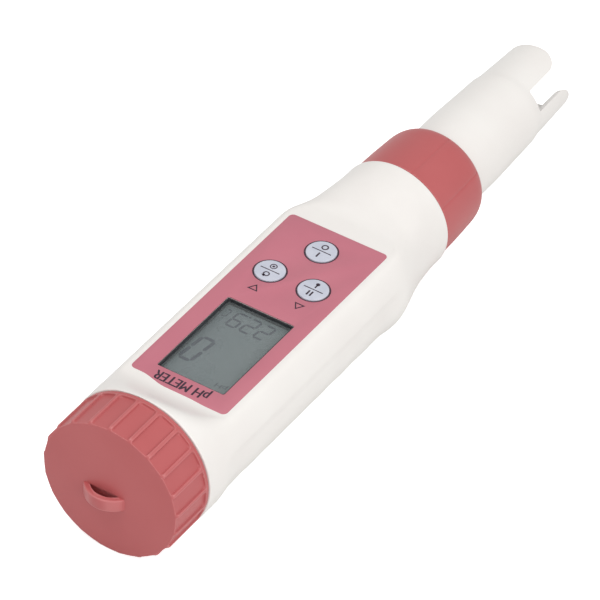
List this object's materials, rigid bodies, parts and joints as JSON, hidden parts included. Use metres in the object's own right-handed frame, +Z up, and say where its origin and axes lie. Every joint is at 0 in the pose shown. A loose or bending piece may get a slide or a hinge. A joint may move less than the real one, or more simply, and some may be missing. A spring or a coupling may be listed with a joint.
{
  "type": "ph meter",
  "caption": "Pen-shaped pH meter with a ribbed battery cap, a display and keys on a flat, a threaded collar ring and a forked electrode tip.",
  "frame": {"origin": "middle of the pen's length and width, at the surface it lies on", "axes": "+X along the pen from the battery cap to the electrode tip, +Z up out of the display flat, +Y to the right of a reader who has the electrode pointing down"},
  "size_m": [0.1916, 0.0382, 0.038],
  "materials": {
    "rose_plastic": "fine moulded satin",
    "label_film": "satin printed film",
    "white_plastic": "soft moulded sheen",
    "grey_plastic": "moulded",
    "seal_rubber": "smooth",
    "steel": "bright",
    "gold_plate": "plated",
    "clear_lens": "polished",
    "display_glass": "polished",
    "diffuser": "frosted",
    "black_plastic": "moulded",
    "board_green": "solder mask",
    "key_silver": "satin silver",
    "probe_glass": "polished",
    "ceramic": "porous"
  },
  "bodies": {
    "meter_body": {"label_overlay": "label_film", "barrel": "white_plastic", "battery_holder": "grey_plastic", "electrode_socket": "grey_plastic", "cap_o_ring": "seal_rubber", "zebra_strip": "seal_rubber", "positive_contact": "steel", "negative_contact": "steel", "holder_screws": "steel", "clock_crystal": "steel", "display_window": "clear_lens", "lcd_glass": "display_glass", "backlight_plate": "diffuser", "lcd_frame": "black_plastic", "circuit_board": "board_green", "microcontroller": "black_plastic", "probe_amplifier": "black_plastic", "button_cell_1": "steel", "button_cell_2": "steel", "button_cell_3": "steel", "button_cell_4": "steel", "power_key_tact_switch": "black_plastic", "mode_key_tact_switch": "black_plastic", "hold_key_tact_switch": "black_plastic"},
    "cap_carrier": {"battery_spring": "steel"},
    "battery_cap": {"battery_cap": "rose_plastic"},
    "power_key": {"power_key": "key_silver", "power_key_switch_stem": "black_plastic"},
    "mode_key": {"mode_key": "key_silver", "mode_key_switch_stem": "black_plastic"},
    "hold_key": {"hold_key": "key_silver", "hold_key_switch_stem": "black_plastic"},
    "electrode": {"electrode_housing": "white_plastic", "electrode_plug": "grey_plastic", "plug_pins": "gold_plate", "neck_o_ring": "seal_rubber", "glass_electrode": "probe_glass", "silver_wire": "steel", "reference_junction": "ceramic", "temperature_probe": "steel"},
    "collar_ring": {"collar_ring": "rose_plastic"}
  },
  "joints": [
    {"name": "cap_travel", "type": "slide", "parent": "meter_body", "child": "cap_carrier", "axis": [-1, 0, 0], "range_m": [0, 0.009]},
    {"name": "cap_turn", "type": "hinge", "parent": "cap_carrier", "child": "battery_cap", "pos_m": [-0.08595, 0, 0.01887], "axis": [-1, 0, 0], "range_deg": [0, 1080.01]},
    {"name": "electrode_travel", "type": "slide", "parent": "meter_body", "child": "electrode", "axis": [1, 0, 0], "range_m": [0, 0.012]},
    {"name": "collar_turn", "type": "hinge", "parent": "electrode", "child": "collar_ring", "pos_m": [0.03905, 0, 0.01887], "axis": [1, 0, 0], "range_deg": [0, 1440.01]},
    {"name": "power_key_press", "type": "slide", "parent": "meter_body", "child": "power_key", "axis": [0, 0, -1], "range_m": [0, 0.0003], "stiffness_N_per_m": 2500},
    {"name": "mode_key_press", "type": "slide", "parent": "meter_body", "child": "mode_key", "axis": [0, 0, -1], "range_m": [0, 0.0003], "stiffness_N_per_m": 2500},
    {"name": "hold_key_press", "type": "slide", "parent": "meter_body", "child": "hold_key", "axis": [0, 0, -1], "range_m": [0, 0.0003], "stiffness_N_per_m": 2500}
  ],
  "couplings": [
    {"joint": "cap_turn", "follows": "cap_travel", "rad_per_m": 2094.4},
    {"joint": "collar_turn", "follows": "electrode_travel", "rad_per_m": 2094.4}
  ]
}
